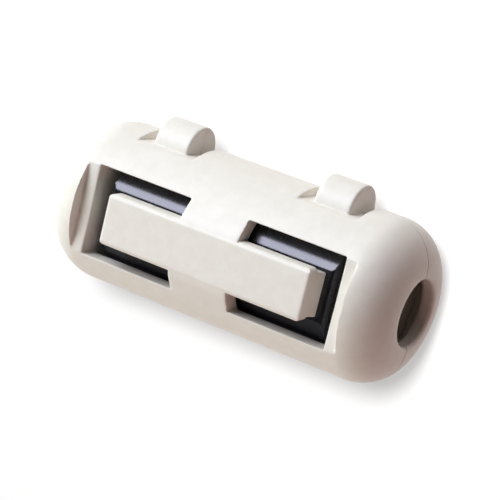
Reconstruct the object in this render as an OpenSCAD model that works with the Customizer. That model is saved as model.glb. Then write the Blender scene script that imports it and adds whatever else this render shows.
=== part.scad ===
// Clip-on ferrite bead for a round cable: a moulded clam-shell case with two film hinges on one side and
// two snap hooks on the other, and half a ferrite tube held in each half by a cross-shaped spring plate.
// X runs along the cable, the parting plane is Z = 0 and the hinges are on the +Y side.

/* [Case] */
// Outside diameter of the closed case
case_d = 17; // [16:0.1:19]
// Length of the case over its rounded ends
case_len = 40; // [39.5:0.5:46]
// Radius that rounds the ends of the case
end_round = 4.6; // [4:0.1:4.8]
// Wall of the case beside the core
wall = 1.7; // [1.6:0.05:1.9]
// Wall of the rounded ends
end_wall = 1.5; // [1.2:0.1:1.6]
// Wall that stops the core at each end
stop_wall = 2.2; // [2:0.1:2.4]
// Gap between the two halves at the parting plane
parting_gap = 0.1; // [0.06:0.01:0.15]

/* [Cable] */
// Diameter of the cable hole
cable_d = 7; // [5:0.1:7.4]

/* [Core] */
// Length of the ferrite core
core_len = 26.8; // [26:0.1:27.6]
// Gap between the core and the wall at each of its ends
core_end_gap = 1.15; // [0.6:0.05:1.3]
// Gap between the core and the case around it
core_gap = 0.3; // [0.1:0.05:0.4]
// Radius that rounds the ends of the core's crown
core_edge = 0.6; // [0.3:0.1:1]
// Gap between the cable hole's wall and the core's bore
core_bore_step = 0.1; // [0.05:0.05:0.3]
// Width of the flat along the core's crown
crown_w = 5; // [4.4:0.1:5.6]

/* [Window and spring plate] */
// Width of the window across the case
window_w = 9.5; // [9.3:0.1:10]
// Width of the flat land at each end of the window
land_w = 9.4; // [9:0.1:9.5]
// Length of that land along the case
land_len = 1.4; // [1:0.1:1.6]
// Radius of the cove at the land's outer end
land_cove = 0.5; // [0.2:0.1:0.8]
// Width of the stem that carries the bar
stem_w = 6.9; // [5:0.1:8]
// Length of the bar with its two free arms
bar_len = 23.9; // [20:0.1:26]
// Width of the bar
bar_w = 5.4; // [4.6:0.1:6]
// Thickness of the bar
bar_t = 1.6; // [1.4:0.1:1.9]
// Radius of the bar's corners
bar_corner = 0.4; // [0.3:0.1:1]
// Radius that rounds the edges of the bar's face
bar_edge = 0.6; // [0.3:0.1:0.8]
// Width of the foot under each arm's end
foot_w = 4.6; // [3:0.1:4.8]
// Length of a foot along the arm
foot_len = 1.8; // [1:0.1:3]
// How far a foot's toe reaches past the arm's end
foot_toe = 0.4; // [0.1:0.05:0.6]

/* [Hinge lugs] */
// Distance from the middle of the case to the middle of a lug
lug_mid = 9.6; // [8.5:0.1:10]
// Length of a lug along the case
lug_len = 4.1; // [3:0.1:5]
// Radius of a lug's half-round end
lug_r = 2.8; // [2.4:0.1:3]
// Height of the flat that a lug stands on, from the cable's axis
lug_flat = 7.65; // [7.5:0.05:7.8]
// Bare flat on each side of a lug
lug_side = 1.35; // [1:0.05:1.6]
// Thickness of the hinge film
film_d = 0.4; // [0.3:0.05:0.5]
// Gap between the film's bead and the groove it turns in
film_gap = 0.03; // [0.02:0.01:0.08]

/* [Latch] */
// Distance from the middle of the case to the middle of a hook
hook_mid = 9.6; // [6:0.1:10]
// Width of a hook along the case
hook_w = 4; // [3:0.1:5]
// Thickness of a hook's blade
hook_t = 0.8; // [0.6:0.05:0.8]
// How far a hook reaches past the parting plane
hook_reach = 1.9; // [1.7:0.05:2]
// How far a hook's barb stands out of its blade
hook_barb = 0.3; // [0.2:0.02:0.35]
// Length of the barb along the hook
barb_len = 0.8; // [0.6:0.05:0.9]
// Distance from the core's pocket to a hook's blade
hook_inset = 0.15; // [0.1:0.05:0.2]
// Gap between a hook and the slot it drops into
hook_gap = 0.1; // [0.08:0.01:0.15]

/* [Hidden] */
$fn = 96;

case_r = case_d / 2;
pocket_r = case_r - wall;
core_r = pocket_r - core_gap;
core_bore_r = cable_d / 2 + core_bore_step;
pocket_half = core_len / 2 + core_end_gap;
land_half = pocket_half + land_len;
land_z = sqrt(case_r * case_r - land_w * land_w / 4);
window_z = sqrt(case_r * case_r - window_w * window_w / 4);
crown_z = sqrt(core_r * core_r - crown_w * crown_w / 4);
bar_back = case_r - bar_t;
hinge_y = lug_flat + lug_r - film_d / 2;
hook_out = -(pocket_r + hook_inset + hook_t);
hook_root = 1.2;
beyond = case_d + case_len;
both_ends = [0, 1];

module case_colour() color([0.93, 0.92, 0.88]) children();
module ferrite_colour() color([0.13, 0.13, 0.15]) children();

// Box from one corner to the opposite one
module box(low, high) translate(low) cube(high - low);

// Child drawn once at each end of the case
module at_both_ends() for (side = both_ends) mirror([side, 0, 0]) children();

// Flat outline in Y and Z, drawn out along X over a length centred at a place
module along_x(middle, length) translate([middle, 0, 0]) rotate([90, 0, 90])
    linear_extrude(length, center = true) children();

// Flat outline in X and Z, drawn out along Y over a width centred on the cable
module along_y(width) rotate([90, 0, 0]) linear_extrude(width, center = true) children();

// Cylinder along X, from one place to another
module rod(radius, from, to) translate([from, 0, 0]) rotate([0, 90, 0]) cylinder(to - from, r = radius);

// Solid turned about X whose two ends are rounded at their rims
module turned(half_len, radius, corner) rotate([0, 90, 0]) rotate_extrude()
    for (side = both_ends) mirror([0, side]) {
        square([radius - corner, half_len]);
        square([radius, half_len - corner]);
        intersection() {
            translate([radius - corner, half_len - corner]) circle(corner);
            square([radius, half_len]);
        }
    }

// Everything above the parting plane, less half the gap there
module above_parting() box([-beyond, -beyond, parting_gap / 2], [beyond, beyond, beyond]);

// Half-round lugs on their flats, over both halves
module lugs() at_both_ends() intersection() {
    translate([0, lug_flat, 0]) rod(lug_r, lug_mid - lug_len / 2, lug_mid + lug_len / 2);
    box([0, 0, -beyond], [beyond, hinge_y, beyond]);
}

// Flats cut across the case for the lugs
module lug_flats() {
    reach = lug_len / 2 + lug_side;
    at_both_ends() box([lug_mid - reach, lug_flat, -beyond], [lug_mid + reach, beyond, beyond]);
}

// Bead of hinge film along the crown of each lug
module film(radius, overrun) at_both_ends() translate([0, hinge_y, 0])
    rod(radius, lug_mid - lug_len / 2 - overrun, lug_mid + lug_len / 2 + overrun);

// Room for the core, the cable and the hollow ends
module insides() {
    rod(pocket_r, -pocket_half, pocket_half);
    rod(cable_d / 2, -beyond, beyond);
    at_both_ends() intersection() {
        turned(case_len / 2 - end_wall, case_r - end_wall, end_round - end_wall);
        box([pocket_half + stop_wall, -beyond, -beyond], [beyond, beyond, beyond]);
    }
}

// The window on both sides of the stem, with its flat lands that end in a cove
module window() at_both_ends() {
    cove = [land_half - land_cove, land_z + land_cove];
    box([stem_w / 2, -window_w / 2, 0], [pocket_half, window_w / 2, beyond]);
    along_y(case_d) {
        translate([stem_w / 2, land_z]) square([cove.x - stem_w / 2, beyond]);
        translate([stem_w / 2, cove.y]) square([land_half - stem_w / 2, beyond]);
        translate(cove) circle(land_cove);
    }
}

// Flat outline from one height to another whose upper corners are rounded
module rounded_top(length, low, high, corner) {
    half = length / 2 - corner;
    translate([-half, low]) square([2 * half, high - low]);
    translate([-length / 2, low]) square([length, high - low - corner]);
    for (x = [-half, half]) translate([x, high - corner]) circle(corner);
}

// Bar with two free arms whose ends stand on the core by a foot each
module bar() {
    flat = [bar_len / 2 - bar_corner, bar_w / 2 - bar_corner];
    intersection() {
        translate([0, 0, bar_back]) linear_extrude(bar_t) {
            square([2 * flat.x, bar_w], center = true);
            square([bar_len, 2 * flat.y], center = true);
            for (x = [-flat.x, flat.x], y = [-flat.y, flat.y]) translate([x, y]) circle(bar_corner);
        }
        along_x(0, bar_len) rounded_top(bar_w, bar_back, case_r, bar_edge);
        along_y(bar_w) rounded_top(bar_len, bar_back, case_r, bar_edge);
    }
    at_both_ends() along_y(foot_w) translate([bar_len / 2, 0]) polygon([
        [-foot_len, bar_back], [0, bar_back], [foot_toe, crown_z], [-foot_len, crown_z]
    ]);
}

// The bar and the sloped sides of the stem that carries it
module spring_plate() {
    bar();
    along_x(0, stem_w) polygon([
        [window_w / 2, window_z], [bar_w / 2, case_r], [-bar_w / 2, case_r],
        [-window_w / 2, window_z], [-bar_w / 2, bar_back], [bar_w / 2, bar_back]
    ]);
}

// One half of the case above the parting plane, before hinge film and latch
module case_half() {
    difference() {
        intersection() {
            union() {
                difference() {
                    turned(case_len / 2, case_r, end_round);
                    lug_flats();
                }
                lugs();
            }
            above_parting();
        }
        insides();
        window();
    }
    spring_plate();
}

// Snap hooks below the upper half's rim, opposite the hinge
module hooks() at_both_ends() along_x(hook_mid, hook_w) polygon([
    [hook_out + hook_t, hook_root], [hook_out, hook_root],
    [hook_out, barb_len - hook_reach], [hook_out - hook_barb, barb_len - hook_reach],
    [hook_out, -hook_reach], [hook_out + hook_t, -hook_reach]
]);

// Slots for the hooks' blades and the windows that their barbs catch in
module hook_slots() {
    side = hook_w / 2 + hook_gap;
    floor_z = -hook_reach - 2 * hook_gap;
    catch_z = barb_len - hook_reach + hook_gap;
    at_both_ends() {
        box([hook_mid - side, hook_out - hook_gap, floor_z], [hook_mid + side, 0, beyond]);
        box([hook_mid - side, -beyond, floor_z], [hook_mid + side, 0, catch_z]);
    }
}

// Half of the ferrite tube above the parting plane, with a flat along its crown
module core_half() difference() {
    intersection() {
        rod(core_r, -core_len / 2, core_len / 2);
        along_y(case_d) rounded_top(core_len, parting_gap / 2, crown_z, core_edge);
    }
    rod(core_bore_r, -beyond, beyond);
}

module upper_case() case_colour() {
    difference() {
        case_half();
        film(film_d / 2 + film_gap, film_gap);
    }
    hooks();
}

module lower_case() case_colour() {
    difference() {
        mirror([0, 0, 1]) case_half();
        hook_slots();
    }
    film(film_d / 2, 0);
}

module upper_core() ferrite_colour() core_half();

module lower_core() ferrite_colour() mirror([0, 0, 1]) core_half();

lower_case();
upper_case();
lower_core();
upper_core();
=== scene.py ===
"""Looks of a clip-on ferrite bead: a satin ivory nylon clam-shell with soft moulded edges, glossy half-round
ferrite cores behind its windows, and two hinge films over the lugs, drawn as fixed strips."""

import math

import bpy
import numpy as np
from mathutils import Matrix, Vector


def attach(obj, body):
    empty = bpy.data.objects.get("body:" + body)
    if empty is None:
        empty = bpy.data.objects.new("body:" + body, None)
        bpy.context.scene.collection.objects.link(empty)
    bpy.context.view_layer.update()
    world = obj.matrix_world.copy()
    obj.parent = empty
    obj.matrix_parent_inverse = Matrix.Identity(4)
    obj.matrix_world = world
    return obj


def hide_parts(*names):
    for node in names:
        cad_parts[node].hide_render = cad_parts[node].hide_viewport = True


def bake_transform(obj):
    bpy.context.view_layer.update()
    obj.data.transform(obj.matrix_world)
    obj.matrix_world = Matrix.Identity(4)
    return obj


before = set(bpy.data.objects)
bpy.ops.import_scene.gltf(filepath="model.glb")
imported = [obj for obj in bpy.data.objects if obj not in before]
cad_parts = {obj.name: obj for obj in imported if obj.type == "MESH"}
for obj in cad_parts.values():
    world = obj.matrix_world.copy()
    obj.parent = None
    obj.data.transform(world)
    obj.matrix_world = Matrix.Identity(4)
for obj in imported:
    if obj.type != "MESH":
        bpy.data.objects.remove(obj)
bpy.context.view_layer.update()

MM = 0.001

# Case, in millimetres
CASE_R = 8.5
CASE_HALF = 20.0
END_ROUND = 4.6
PARTING = 0.04
CABLE_R = 3.5
POCKET_R = 6.8
POCKET_HALF = 14.55
END_WALL = 1.5
STOP_WALL = 2.2

# Window, lands and spring plate
WINDOW_HALF = 4.75
LAND_HALF = 15.95
LAND_Z = 7.08
LAND_COVE = 0.2
STEM_HALF = 3.45
BAR_HALF = 11.95
BAR_WIDE = 2.7
BAR_BACK = 6.9
BAR_CORNER = 0.6
BAR_EDGE = 0.5
BAR_END_EDGE = 0.25
FOOT_HALF = 2.3
FOOT_LEN = 1.8
FOOT_TOE = 0.4
FOOT_Z = 6.0

# Hinge lugs and films
LUG_MID = 9.6
LUG_HALF = 2.05
LUG_R = 2.8
LUG_FLAT = 7.65
LUG_SIDE = 1.35
LUG_ROOT = 1.0
HINGE_Y = 10.25
SEAM_TAPER = 0.8
SEAM_LEFT = 0.1
CROWN_TRIM = 0.01
FILM_ROOM = 0.28
FILM_SUNK = 0.01
FILM_TUCK = 0.06
FILM_DEEP = 0.26
FILM_HALF = 2.04
FILM_ROWS = 32
FILM_RIM_STEPS = 6

# Snap hooks
HOOK_MID = 9.6
HOOK_HALF = 2.0
HOOK_IN = -6.95
HOOK_OUT = -7.75
HOOK_BARB = 0.3
HOOK_TIP = -1.9
BARB_TOP = -1.1
HOOK_ROOT = 1.2
HOOK_GAP = 0.1

# Ferrite cores
CORE_R = 6.47
CORE_BORE = 3.6
CORE_LEN = 26.8
CORE_EDGE = 0.15
CROWN_Z = 5.98
CROWN_ROUND = 0.6
CORE_SPACING = 0.14
CORE_TURN_POINTS = 129
CORE_EDGE_POINTS = 4
CORE_WELD = 0.001

# Roundings of moulded edges
CRISP = 0.06
RIM = 0.15
LUG_EDGE = 0.25
HOLE_EDGE = 0.35

# Width of the cells that the case's skin is drawn in, and how its points settle on the shape
CELL = 0.175
NUDGE = 1e-4
SETTLE_PULL = 0.05
SETTLE_ROUNDS = 4
LEAST_SLOPE = 0.2

# Angles from which an edge is drawn sharp
CASE_SHARP = math.radians(40)
PIECE_SHARP = math.radians(35)

# Floor: reach in metres, light thrown back on the bead, and the shade and glow that the camera sees
FLOOR_REACH = 2.0
FLOOR_BOUNCE = (0.4, 0.355, 0.345, 1)
FLOOR_SHADE = (0.58, 0.58, 0.58, 1)
FLOOR_GLOW = 0.48


# Two shapes' common part, with its edge rounded
def meet(a, b, radius):
    u = np.maximum(a + radius, 0)
    v = np.maximum(b + radius, 0)
    return np.minimum(np.maximum(a, b), -radius) + np.hypot(u, v)


# Two shapes as one, with a fillet where they meet
def join(a, b, radius):
    u = np.maximum(radius - a, 0)
    v = np.maximum(radius - b, 0)
    return np.maximum(np.minimum(a, b), radius) - np.hypot(u, v)


# One shape less another, with its rim rounded
def cut(a, b, radius):
    return meet(a, -b, radius)


# Distance to a solid turned about X whose rims are rounded
def turned(along, out, half, radius, corner):
    u = along - (half - corner)
    v = out - (radius - corner)
    return np.hypot(np.maximum(u, 0), np.maximum(v, 0)) + np.minimum(np.maximum(u, v), 0) - corner


# Bar whose two free arms stand on the core by a foot each, and the sloped stem that carries it, facing +Z
def spring_plate(along, y, z):
    side = np.abs(y)
    outline = meet(along - BAR_HALF, side - BAR_WIDE, BAR_CORNER)
    long_edges = meet(side - BAR_WIDE, z - CASE_R, BAR_EDGE)
    end_edges = meet(along - BAR_HALF, z - CASE_R, BAR_END_EDGE)
    edges = np.maximum(long_edges, end_edges)
    bar = meet(np.maximum(outline, edges), BAR_BACK - z, CRISP)
    lean = Vector((BAR_BACK - FOOT_Z, FOOT_TOE)).normalized()
    toe = (along - BAR_HALF) * lean.x + (z - BAR_BACK) * lean.y
    foot = meet(meet(toe, side - FOOT_HALF, RIM), BAR_HALF - FOOT_LEN - along, CRISP)
    foot = np.maximum(foot, np.maximum(FOOT_Z - z, z - BAR_BACK - CRISP))
    bar = np.minimum(bar, foot)
    window_z = math.sqrt(CASE_R ** 2 - WINDOW_HALF ** 2)
    run = Vector((WINDOW_HALF - BAR_WIDE, CASE_R - window_z)).normalized()
    slope = (side - BAR_WIDE) * run.y + (z - CASE_R) * run.x
    fall = Vector((WINDOW_HALF - BAR_WIDE, window_z - BAR_BACK)).normalized()
    under = (side - BAR_WIDE) * fall.y - (z - BAR_BACK) * fall.x
    stem = meet(meet(slope, z - CASE_R, BAR_EDGE), np.maximum(under, BAR_BACK - z), CRISP)
    stem = meet(stem, along - STEM_HALF, RIM)
    return np.minimum(bar, stem)


# One half of the case, with its window towards +Z, before hinge film and latch
def case_half(x, y, z):
    along = np.abs(x)
    out = np.hypot(y, z)
    at_lug = np.abs(along - LUG_MID)
    flats = meet(at_lug - LUG_HALF - LUG_SIDE, LUG_FLAT - y, CRISP)
    body = cut(turned(along, out, CASE_HALF, CASE_R, END_ROUND), flats, RIM)
    lug = meet(np.hypot(y - LUG_FLAT, z) - LUG_R, at_lug - LUG_HALF, LUG_EDGE)
    lug = np.maximum(lug, np.maximum(LUG_FLAT - LUG_ROOT - y, y - HINGE_Y + CROWN_TRIM))
    body = join(body, lug, CRISP)
    land = np.maximum(meet(along - LAND_HALF, LAND_Z - z, LAND_COVE), STEM_HALF - along)
    body = np.maximum(body, -land)
    hollow = turned(along, out, CASE_HALF - END_WALL, CASE_R - END_WALL, END_ROUND - END_WALL)
    hollow = meet(hollow, POCKET_HALF + STOP_WALL - along, CRISP)
    body = cut(body, hollow, CRISP)
    body = cut(body, meet(out - POCKET_R, along - POCKET_HALF, CRISP), CRISP)
    body = cut(body, out - CABLE_R, HOLE_EDGE)
    window = meet(np.abs(y) - WINDOW_HALF, meet(along - POCKET_HALF, STEM_HALF - along, RIM), RIM)
    body = cut(body, np.maximum(window, -z), RIM)
    seam = np.clip((LUG_FLAT + SEAM_TAPER - y) / SEAM_TAPER, SEAM_LEFT, 1)
    body = meet(body, PARTING * seam - z, CRISP * seam)
    half = np.minimum(body, spring_plate(along, y, z))
    return cut(half, np.hypot(y - HINGE_Y, z) - FILM_ROOM, CRISP)


# Snap hooks under the upper half's rim, opposite the hinge
def hooks(x, y, z):
    at_hook = np.abs(np.abs(x) - HOOK_MID)
    blade = np.maximum(np.maximum(HOOK_OUT - y, y - HOOK_IN), np.maximum(HOOK_TIP - z, z - HOOK_ROOT))
    ramp = Vector((HOOK_BARB, BARB_TOP - HOOK_TIP)).normalized()
    lead = (HOOK_OUT - y) * ramp.y - (z - HOOK_TIP) * ramp.x
    barb = np.maximum(np.maximum(lead, z - BARB_TOP), y - HOOK_IN)
    barb = np.maximum(barb, HOOK_TIP - z)
    return meet(np.minimum(blade, barb), at_hook - HOOK_HALF, CRISP)


# Slots in the lower half for the hooks' blades, and the windows that their barbs catch in
def hook_slots(x, y, z):
    at_hook = np.abs(np.abs(x) - HOOK_MID) - HOOK_HALF - HOOK_GAP
    floor_z = HOOK_TIP - 2 * HOOK_GAP
    blade = np.maximum(np.maximum(HOOK_OUT - HOOK_GAP - y, y), floor_z - z)
    catch = np.maximum(np.maximum(floor_z - z, z - BARB_TOP - HOOK_GAP), y)
    return meet(np.minimum(blade, catch), at_hook, CRISP)


def upper_case(x, y, z):
    return join(case_half(x, y, z), hooks(x, y, z), CRISP)


def lower_case(x, y, z):
    return cut(case_half(x, y, -z), hook_slots(x, y, z), CRISP)


# Direction in which a shape's distance grows fastest, at each point
def slope_of(shape, points):
    found = np.empty_like(points)
    for axis in range(3):
        step = np.zeros(3)
        step[axis] = NUDGE
        ahead = shape(*(points + step).T)
        behind = shape(*(points - step).T)
        found[:, axis] = (ahead - behind) / (2 * NUDGE)
    return found


# Mesh of a shape's skin: one point in each cell that the skin crosses, set where the crossings' planes meet
def skin_of(name, shape, low, high, material):
    axes = [np.arange(a - CELL, b + 2 * CELL, CELL) for a, b in zip(low, high)]
    value = shape(*np.meshgrid(*axes, indexing="ij"))
    origin = np.array([line[0] for line in axes])
    counts = np.array(value.shape)
    strides = np.array([counts[1] * counts[2], counts[2], 1])
    quads = []
    crossings = []
    for axis in range(3):
        near = np.moveaxis(value, axis, 0)[:-1]
        far = np.moveaxis(value, axis, 0)[1:]
        places = np.argwhere((near < 0) != (far < 0))
        a, b = near[tuple(places.T)], far[tuple(places.T)]
        places = np.insert(places[:, 1:], axis, places[:, 0], axis=1)
        points = places.astype(float)
        points[:, axis] += a / (a - b)
        next_axis, last_axis = (axis + 1) % 3, (axis + 2) % 3
        corner = places @ strides
        ring = [corner, corner - strides[next_axis]]
        ring += [ring[1] - strides[last_axis], corner - strides[last_axis]]
        ring = np.stack(ring, axis=1)
        ring[a >= 0] = ring[a >= 0][:, ::-1]
        quads.append(ring)
        crossings.append(origin + points * CELL)
    quads = np.concatenate(quads)
    crossings = np.concatenate(crossings)
    cells, faces = np.unique(quads, return_inverse=True)
    faces = faces.reshape(-1, 4)
    normals = slope_of(shape, crossings)
    normals /= np.linalg.norm(normals, axis=1, keepdims=True)
    points = settle(cells, faces, crossings, normals, origin, strides)
    for _ in range(SETTLE_ROUNDS):
        uphill = slope_of(shape, points)
        steep = np.maximum(np.linalg.norm(uphill, axis=1), LEAST_SLOPE)
        move = np.clip(shape(*points.T) / steep, -CELL / 2, CELL / 2)
        points -= (move / steep)[:, None] * uphill
    mesh = bpy.data.meshes.new(name)
    mesh.from_pydata((points * MM).tolist(), [], faces.tolist())
    mesh.polygons.foreach_set("use_smooth", np.ones(len(faces), bool))
    mesh.validate()
    mesh.set_sharp_from_angle(angle=CASE_SHARP)
    mesh.materials.append(material)
    piece = bpy.data.objects.new(name, mesh)
    bpy.context.scene.collection.objects.link(piece)
    return piece


# Point of each cell that lies nearest the planes of the crossings on its edges, kept inside the cell
def settle(cells, faces, crossings, normals, origin, strides):
    flat = faces.ravel()
    where = np.repeat(crossings, 4, axis=0)
    facing = np.repeat(normals, 4, axis=0)
    total = len(cells)
    share = np.bincount(flat, minlength=total)
    middle = np.stack([np.bincount(flat, where[:, i], total) / share for i in range(3)], axis=1)
    offset = np.einsum("ij,ij->i", facing, where - middle[flat])
    right = np.stack([np.bincount(flat, facing[:, i] * offset, total) for i in range(3)], axis=1)
    left = np.empty((total, 3, 3))
    for i in range(3):
        for j in range(3):
            left[:, i, j] = np.bincount(flat, facing[:, i] * facing[:, j], total)
    left += SETTLE_PULL * np.eye(3)
    points = middle + np.linalg.solve(left, right[:, :, None])[:, :, 0]
    index = np.stack([cells // strides[0], cells % strides[0] // strides[1], cells % strides[1]], axis=1)
    centre = origin + (index + 0.5) * CELL
    return np.clip(points, centre - CELL / 2, centre + CELL / 2)


# Shader node and the socket values that it starts with
def shader_node(tree, kind, **values):
    node = tree.nodes.new(kind)
    for key, value in values.items():
        if hasattr(node, key):
            setattr(node, key, value)
        else:
            node.inputs[key.replace("_", " ")].default_value = value
    return node


# Node group that clouds a moulded or sintered surface: tone, roughness and grain by place on the object
def surface_clouds():
    tree = bpy.data.node_groups.new("surface_clouds", "ShaderNodeTree")
    sockets = tree.interface
    sockets.new_socket("Place", in_out="INPUT", socket_type="NodeSocketVector")
    for name in ("Cloud Scale", "Grain Scale", "Dark Rough", "Light Rough"):
        sockets.new_socket(name, in_out="INPUT", socket_type="NodeSocketFloat")
    for name in ("Dark Tone", "Light Tone"):
        sockets.new_socket(name, in_out="INPUT", socket_type="NodeSocketColor")
    sockets.new_socket("Tone", in_out="OUTPUT", socket_type="NodeSocketColor")
    sockets.new_socket("Rough", in_out="OUTPUT", socket_type="NodeSocketFloat")
    sockets.new_socket("Grain", in_out="OUTPUT", socket_type="NodeSocketFloat")
    given = tree.nodes.new("NodeGroupInput")
    result = tree.nodes.new("NodeGroupOutput")
    cloud = shader_node(tree, "ShaderNodeTexNoise", Detail=4.0, Roughness=0.55)
    grain = shader_node(tree, "ShaderNodeTexNoise", Detail=2.0, Roughness=0.6)
    patch = shader_node(tree, "ShaderNodeMapRange", From_Min=0.35, From_Max=0.65)
    tone = shader_node(tree, "ShaderNodeMix", data_type="RGBA")
    rough = shader_node(tree, "ShaderNodeMapRange", From_Min=0.3, From_Max=0.7)
    link = tree.links.new
    link(given.outputs["Place"], cloud.inputs["Vector"])
    link(given.outputs["Place"], grain.inputs["Vector"])
    link(given.outputs["Cloud Scale"], cloud.inputs["Scale"])
    link(given.outputs["Grain Scale"], grain.inputs["Scale"])
    link(cloud.outputs["Fac"], patch.inputs["Value"])
    link(patch.outputs["Result"], tone.inputs["Factor"])
    link(given.outputs["Dark Tone"], tone.inputs["A"])
    link(given.outputs["Light Tone"], tone.inputs["B"])
    link(grain.outputs["Fac"], rough.inputs["Value"])
    link(given.outputs["Dark Rough"], rough.inputs["To Min"])
    link(given.outputs["Light Rough"], rough.inputs["To Max"])
    link(tone.outputs["Result"], result.inputs["Tone"])
    link(rough.outputs["Result"], result.inputs["Rough"])
    link(grain.outputs["Fac"], result.inputs["Grain"])
    return tree


# Material whose tone, roughness and grain come from the clouds
def clouded_material(name, clouds, values, bump, distance, **constants):
    material = bpy.data.materials.new(name)
    material.use_nodes = True
    tree = material.node_tree
    shader = tree.nodes["Principled BSDF"]
    place = tree.nodes.new("ShaderNodeTexCoord")
    group = tree.nodes.new("ShaderNodeGroup")
    group.node_tree = clouds
    for key, value in values.items():
        group.inputs[key].default_value = value
    relief = shader_node(tree, "ShaderNodeBump", Strength=bump, Distance=distance)
    link = tree.links.new
    link(place.outputs["Object"], group.inputs["Place"])
    link(group.outputs["Tone"], shader.inputs["Base Color"])
    link(group.outputs["Rough"], shader.inputs["Roughness"])
    link(group.outputs["Grain"], relief.inputs["Height"])
    link(relief.outputs["Normal"], shader.inputs["Normal"])
    for key, value in constants.items():
        shader.inputs[key.replace("_", " ")].default_value = value
    return material


# Paper that throws a pinkish light back on the bead, and that glows to white where it is seen or mirrored
def white_paper():
    paper = bpy.data.materials.new("white_paper")
    paper.use_nodes = True
    tree = paper.node_tree
    tree.nodes.remove(tree.nodes["Principled BSDF"])
    bounced = shader_node(tree, "ShaderNodeBsdfDiffuse", Color=FLOOR_BOUNCE)
    shaded = shader_node(tree, "ShaderNodeBsdfDiffuse", Color=FLOOR_SHADE)
    glow = shader_node(tree, "ShaderNodeEmission", Strength=FLOOR_GLOW)
    glowing = tree.nodes.new("ShaderNodeAddShader")
    shown = tree.nodes.new("ShaderNodeMixShader")
    path = tree.nodes.new("ShaderNodeLightPath")
    mirrored = shader_node(tree, "ShaderNodeMath", operation="ADD", use_clamp=True)
    looked_at = shader_node(tree, "ShaderNodeMath", operation="ADD", use_clamp=True)
    link = tree.links.new
    link(path.outputs["Is Glossy Ray"], mirrored.inputs[0])
    link(path.outputs["Is Transmission Ray"], mirrored.inputs[1])
    link(path.outputs["Is Camera Ray"], looked_at.inputs[0])
    link(mirrored.outputs[0], looked_at.inputs[1])
    link(shaded.outputs[0], glowing.inputs[0])
    link(glow.outputs[0], glowing.inputs[1])
    link(looked_at.outputs[0], shown.inputs[0])
    link(bounced.outputs[0], shown.inputs[1])
    link(glowing.outputs[0], shown.inputs[2])
    link(shown.outputs[0], tree.nodes["Material Output"].inputs["Surface"])
    return paper


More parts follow.
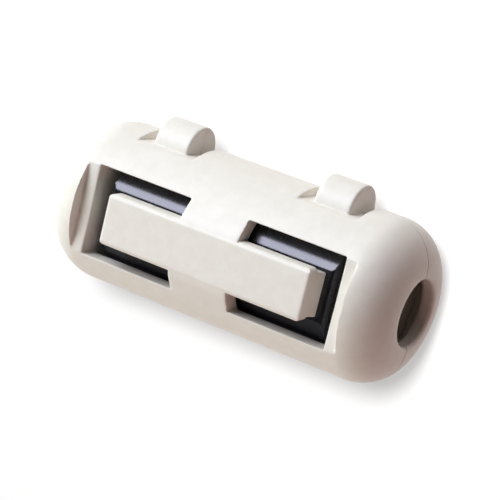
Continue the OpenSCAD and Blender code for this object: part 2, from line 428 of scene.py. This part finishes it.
# Geometry node tree for half a core: a wall profile swept through half a turn, then drawn in to a flat crown
def half_core_tree():
    tree = bpy.data.node_groups.new("half_core", "GeometryNodeTree")
    sockets = tree.interface
    for name in ("Outside Radius", "Bore Radius", "Length", "Edge", "Crown", "Crown Round", "Lift", "Turn"):
        sockets.new_socket(name, in_out="INPUT", socket_type="NodeSocketFloat")
    sockets.new_socket("Finish", in_out="INPUT", socket_type="NodeSocketMaterial")
    sockets.new_socket("Geometry", in_out="OUTPUT", socket_type="NodeSocketGeometry")
    given = tree.nodes.new("NodeGroupInput")
    result = tree.nodes.new("NodeGroupOutput")
    link = tree.links.new

    def maths(operation, a, b=0.0):
        node = tree.nodes.new("ShaderNodeMath")
        node.operation = operation
        for socket, value in zip(node.inputs, (a, b)):
            if isinstance(value, float):
                socket.default_value = value
            else:
                link(value, socket)
        return node.outputs[0]

    outside, bore = given.outputs["Outside Radius"], given.outputs["Bore Radius"]
    profile = tree.nodes.new("GeometryNodeCurvePrimitiveQuadrilateral")
    link(maths("SUBTRACT", outside, bore), profile.inputs["Width"])
    link(given.outputs["Length"], profile.inputs["Height"])
    rounded = tree.nodes.new("GeometryNodeFilletCurve")
    rounded.mode = "POLY"
    rounded.inputs["Count"].default_value = CORE_EDGE_POINTS
    link(profile.outputs["Curve"], rounded.inputs["Curve"])
    link(given.outputs["Edge"], rounded.inputs["Radius"])
    spaced = tree.nodes.new("GeometryNodeResampleCurve")
    spaced.mode = "LENGTH"
    spaced.inputs["Length"].default_value = CORE_SPACING * MM
    link(rounded.outputs["Curve"], spaced.inputs["Curve"])
    path = tree.nodes.new("GeometryNodeCurveArc")
    path.inputs["Resolution"].default_value = CORE_TURN_POINTS
    path.inputs["Sweep Angle"].default_value = math.pi
    link(maths("MULTIPLY", maths("ADD", outside, bore), 0.5), path.inputs["Radius"])
    sweep = tree.nodes.new("GeometryNodeCurveToMesh")
    sweep.inputs["Fill Caps"].default_value = True
    link(path.outputs["Curve"], sweep.inputs["Curve"])
    link(spaced.outputs["Curve"], sweep.inputs["Profile Curve"])
    stand = tree.nodes.new("GeometryNodeTransform")
    stand.inputs["Rotation"].default_value = (math.pi / 2, 0, math.pi / 2)
    link(sweep.outputs["Mesh"], stand.inputs["Geometry"])

    place = tree.nodes.new("GeometryNodeInputPosition")
    split = tree.nodes.new("ShaderNodeSeparateXYZ")
    link(place.outputs["Position"], split.inputs["Vector"])
    bend = given.outputs["Crown Round"]
    straight = maths("SUBTRACT", maths("MULTIPLY", given.outputs["Length"], 0.5), bend)
    over = maths("MAXIMUM", maths("SUBTRACT", maths("ABSOLUTE", split.outputs["X"]), straight), 0.0)
    left = maths("SUBTRACT", maths("MULTIPLY", bend, bend), maths("MULTIPLY", over, over))
    height = maths("SQRT", maths("MAXIMUM", left, 0.0))
    ceiling = maths("ADD", maths("SUBTRACT", given.outputs["Crown"], bend), height)
    share = maths("DIVIDE", ceiling, maths("MAXIMUM", split.outputs["Z"], ceiling))
    drawn = tree.nodes.new("ShaderNodeCombineXYZ")
    link(split.outputs["X"], drawn.inputs["X"])
    link(maths("MULTIPLY", split.outputs["Y"], share), drawn.inputs["Y"])
    link(maths("MINIMUM", split.outputs["Z"], ceiling), drawn.inputs["Z"])
    crown = tree.nodes.new("GeometryNodeSetPosition")
    link(stand.outputs["Geometry"], crown.inputs["Geometry"])
    link(drawn.outputs["Vector"], crown.inputs["Position"])
    clean = tree.nodes.new("GeometryNodeMergeByDistance")
    clean.inputs["Distance"].default_value = CORE_WELD * MM
    link(crown.outputs["Geometry"], clean.inputs["Geometry"])

    lift = tree.nodes.new("ShaderNodeCombineXYZ")
    link(given.outputs["Lift"], lift.inputs["Z"])
    raised = tree.nodes.new("GeometryNodeTransform")
    link(clean.outputs["Geometry"], raised.inputs["Geometry"])
    link(lift.outputs["Vector"], raised.inputs["Translation"])
    about = tree.nodes.new("ShaderNodeCombineXYZ")
    link(given.outputs["Turn"], about.inputs["X"])
    turn = tree.nodes.new("GeometryNodeTransform")
    link(raised.outputs["Geometry"], turn.inputs["Geometry"])
    link(about.outputs["Vector"], turn.inputs["Rotation"])
    real = tree.nodes.new("GeometryNodeRealizeInstances")
    link(turn.outputs["Geometry"], real.inputs["Geometry"])
    paint = tree.nodes.new("GeometryNodeSetMaterial")
    link(real.outputs["Geometry"], paint.inputs["Geometry"])
    link(given.outputs["Finish"], paint.inputs["Material"])
    link(paint.outputs["Geometry"], result.inputs["Geometry"])
    return tree


# Plain mesh object that a geometry node tree makes from its named inputs
def grown_piece(name, tree, inputs):
    seed = bpy.data.objects.new(name + "_seed", bpy.data.meshes.new(name + "_seed"))
    bpy.context.scene.collection.objects.link(seed)
    modifier = seed.modifiers.new("grow", "NODES")
    modifier.node_group = tree
    for item in tree.interface.items_tree:
        if item.in_out == "INPUT" and item.name in inputs:
            modifier[item.identifier] = inputs[item.name]
    seed.update_tag()
    bpy.context.view_layer.update()
    ready = seed.evaluated_get(bpy.context.evaluated_depsgraph_get())
    mesh = bpy.data.meshes.new_from_object(ready)
    mesh.name = name
    bpy.data.objects.remove(seed)
    piece = bpy.data.objects.new(name, mesh)
    bpy.context.scene.collection.objects.link(piece)
    mesh.polygons.foreach_set("use_smooth", np.ones(len(mesh.polygons), bool))
    mesh.set_sharp_from_angle(angle=PIECE_SHARP)
    return piece


# Hinge film on one lug: a strip that rounds out the lug's crown across the parting plane
def hinge_film(name, middle, material):
    rows = FILM_ROWS
    outside = LUG_R - FILM_SUNK
    reach = math.acos((HINGE_Y - FILM_TUCK - LUG_FLAT) / outside)
    inset = LUG_HALF - LUG_EDGE
    rim = [inset + (FILM_HALF - inset) * step / FILM_RIM_STEPS for step in range(FILM_RIM_STEPS + 1)]
    stations = [-x for x in reversed(rim)] + rim
    upper_side = []
    under_side = []
    for step in range(rows + 1):
        angle = reach * (2 * step / rows - 1)
        for x in stations:
            drop = LUG_EDGE - math.sqrt(LUG_EDGE ** 2 - (abs(x) - inset) ** 2)
            radius = outside - drop
            z = radius * math.sin(angle)
            upper_side.append(((middle + x) * MM, (LUG_FLAT + radius * math.cos(angle)) * MM, z * MM))
            under_side.append(((middle + x) * MM, (HINGE_Y - FILM_DEEP) * MM, z * MM))
    count = len(stations)
    last = count - 1

    def at(row, column, layer):
        return (layer * (rows + 1) + row) * count + column

    faces = []
    for row in range(rows):
        for column in range(last):
            for layer in (0, 1):
                ring = [at(row, column, layer), at(row + 1, column, layer),
                        at(row + 1, column + 1, layer), at(row, column + 1, layer)]
                faces.append(ring[::-1] if layer else ring)
        faces.append([at(row, 0, 0), at(row, 0, 1), at(row + 1, 0, 1), at(row + 1, 0, 0)])
        faces.append([at(row, last, 0), at(row + 1, last, 0), at(row + 1, last, 1), at(row, last, 1)])
    for column in range(last):
        faces.append([at(0, column, 0), at(0, column + 1, 0), at(0, column + 1, 1), at(0, column, 1)])
        faces.append([at(rows, column, 0), at(rows, column, 1),
                      at(rows, column + 1, 1), at(rows, column + 1, 0)])
    mesh = bpy.data.meshes.new(name)
    mesh.from_pydata(upper_side + under_side, [], faces)
    mesh.polygons.foreach_set("use_smooth", np.ones(len(faces), bool))
    mesh.set_sharp_from_angle(angle=PIECE_SHARP)
    mesh.materials.append(material)
    piece = bpy.data.objects.new(name, mesh)
    bpy.context.scene.collection.objects.link(piece)
    return piece


# Finishes
clouds = surface_clouds()
nylon = clouded_material(
    "ivory_nylon", clouds,
    {"Cloud Scale": 800.0, "Grain Scale": 9000.0, "Dark Rough": 0.42, "Light Rough": 0.55,
     "Dark Tone": (0.82, 0.782, 0.718, 1), "Light Tone": (0.85, 0.817, 0.758, 1)},
    bump=0.12, distance=0.00002, IOR=1.5, Specular_IOR_Level=0.4)
ferrite = clouded_material(
    "polished_ferrite", clouds,
    {"Cloud Scale": 900.0, "Grain Scale": 14000.0, "Dark Rough": 0.19, "Light Rough": 0.26,
     "Dark Tone": (0.012, 0.012, 0.016, 1), "Light Tone": (0.017, 0.017, 0.022, 1)},
    bump=0.05, distance=0.00001, IOR=1.5)

# Case halves
top = LUG_FLAT + LUG_R
upper_box = (-CASE_HALF, -CASE_R, HOOK_TIP), (CASE_HALF, top, CASE_R)
lower_box = (-CASE_HALF, -CASE_R, -CASE_R), (CASE_HALF, top, 0)
upper = skin_of("upper_case_skin", upper_case, *upper_box, nylon)
lower = skin_of("lower_case_skin", lower_case, *lower_box, nylon)

# Ferrite cores
tube = half_core_tree()
core_inputs = {"Outside Radius": CORE_R * MM, "Bore Radius": CORE_BORE * MM, "Length": CORE_LEN * MM,
               "Edge": CORE_EDGE * MM, "Crown": (CROWN_Z - PARTING) * MM, "Crown Round": CROWN_ROUND * MM,
               "Lift": PARTING * MM, "Finish": ferrite}
upper_core = grown_piece("upper_core_body", tube, {**core_inputs, "Turn": 0.0})
lower_core = grown_piece("lower_core_body", tube, {**core_inputs, "Turn": math.pi})

# Pieces on their bodies
for piece, body, node, slot in (
    (upper, "upper", "upper_case", "case"), (lower, "lower", "lower_case", "case"),
    (upper_core, "upper", "upper_core", "ferrite"), (lower_core, "lower", "lower_core", "ferrite"),
):
    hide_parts(node)
    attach(piece, body)
for side, middle in (("left", -LUG_MID), ("right", LUG_MID)):
    film = hinge_film("hinge_film_" + side, middle, nylon)
    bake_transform(film)

# Floor that the bead lies on
ground = -CASE_R * MM
corners = [(-FLOOR_REACH, -FLOOR_REACH, ground), (FLOOR_REACH, -FLOOR_REACH, ground),
           (FLOOR_REACH, FLOOR_REACH, ground), (-FLOOR_REACH, FLOOR_REACH, ground)]
floor_mesh = bpy.data.meshes.new("floor")
floor_mesh.from_pydata(corners, [], [(0, 1, 2, 3)])
floor_mesh.materials.append(white_paper())
floor = bpy.data.objects.new("floor", floor_mesh)
bpy.context.scene.collection.objects.link(floor)

# Soft lamps around the bead, a card that shows in its sheen only and a lamp for the floor only, whose shadow
# stays close below the bead: direction, distance, size, power and tint
LAMPS = (
    ("key", (-0.45, 0.54, 0.71), 0.45, 0.3, 0.9, (0.8, 0.85, 1.0)),
    ("sheen_card", (-0.45, 0.54, 0.71), 0.4, 0.255, 2.2, (0.8, 0.82, 1.0)),
    ("floor_lamp", (0.22, 0.355, 0.909), 0.6, 0.17, 3.9, (1.0, 1.0, 1.0)),
    ("behind", (-0.4, 0.9, 0.1), 0.5, 0.4, 1.8, (1.0, 0.98, 0.97)),
    ("left_high", (-0.85, 0.5, 0.2), 0.5, 0.4, 1.0, (0.9, 1.0, 0.94)),
    ("left_low", (-0.8, -0.6, 0.2), 0.5, 0.4, 1.0, (1.0, 0.98, 0.97)),
    ("front_left", (-0.5, -0.1, 0.85), 0.5, 0.4, 1.08, (0.93, 1.0, 0.95)),
    ("before", (0.0, -0.8, 0.6), 0.5, 0.4, 0.45, (1.0, 0.78, 0.64)),
    ("right", (0.85, -0.3, 0.35), 0.5, 0.4, 0.34, (1.0, 0.5, 0.47)),
)
floor_only = bpy.data.collections.new("floor_only")
floor_only.objects.link(floor)
all_but_floor = bpy.data.collections.new("all_but_floor")
all_but_floor.objects.link(floor)
all_but_floor.collection_objects[0].light_linking.link_state = "EXCLUDE"
for name, direction, distance, size, power, tint in LAMPS:
    light = bpy.data.lights.new(name, "AREA")
    light.shape = "DISK"
    light.size = size
    light.energy = power
    light.color = tint
    lamp = bpy.data.objects.new(name, light)
    away = Vector(direction).normalized()
    lamp.location = away * distance
    lamp.rotation_mode = "QUATERNION"
    lamp.rotation_quaternion = away.to_track_quat("Z", "Y")
    lamp.visible_glossy = name == "sheen_card"
    lamp.visible_diffuse = name != "sheen_card"
    lamp.light_linking.receiver_collection = floor_only if name == "floor_lamp" else all_but_floor
    bpy.context.scene.collection.objects.link(lamp)

world = bpy.data.worlds.new("room")
world.use_nodes = True
world.node_tree.nodes["Background"].inputs["Color"].default_value = (1.0, 0.98, 0.96, 1)
world.node_tree.nodes["Background"].inputs["Strength"].default_value = 0.02
bpy.context.scene.world = world

# Camera at the photograph's viewing angle
YAW, TILT, ROLL = (math.radians(angle) for angle in (26.783, 15.663, -13.857))
DISTANCE = 210.889
ASIDE = -0.491
ABOVE = 0.185
FOCAL_PIXELS = 2079.33
IMAGE_PIXELS = 500
back = Vector((math.sin(YAW), math.cos(YAW) * math.sin(TILT), math.cos(YAW) * math.cos(TILT)))
level = Vector((0, 1, 0)).cross(back).normalized()
upright = back.cross(level)
right = level * math.cos(ROLL) - upright * math.sin(ROLL)
up = level * math.sin(ROLL) + upright * math.cos(ROLL)
lens = bpy.data.cameras.new("camera")
lens.sensor_width = 36.0
lens.lens = lens.sensor_width * FOCAL_PIXELS / IMAGE_PIXELS
lens.clip_start = 0.01
lens.clip_end = 20.0
camera = bpy.data.objects.new("camera", lens)
camera.rotation_mode = "QUATERNION"
camera.rotation_quaternion = Matrix((right, up, back)).transposed().to_quaternion()
camera.location = (back * DISTANCE - right * ASIDE - up * ABOVE) * MM
bpy.context.scene.collection.objects.link(camera)
bpy.context.scene.camera = camera
bpy.context.scene.view_settings.view_transform = "Standard"

bpy.context.view_layer.update()
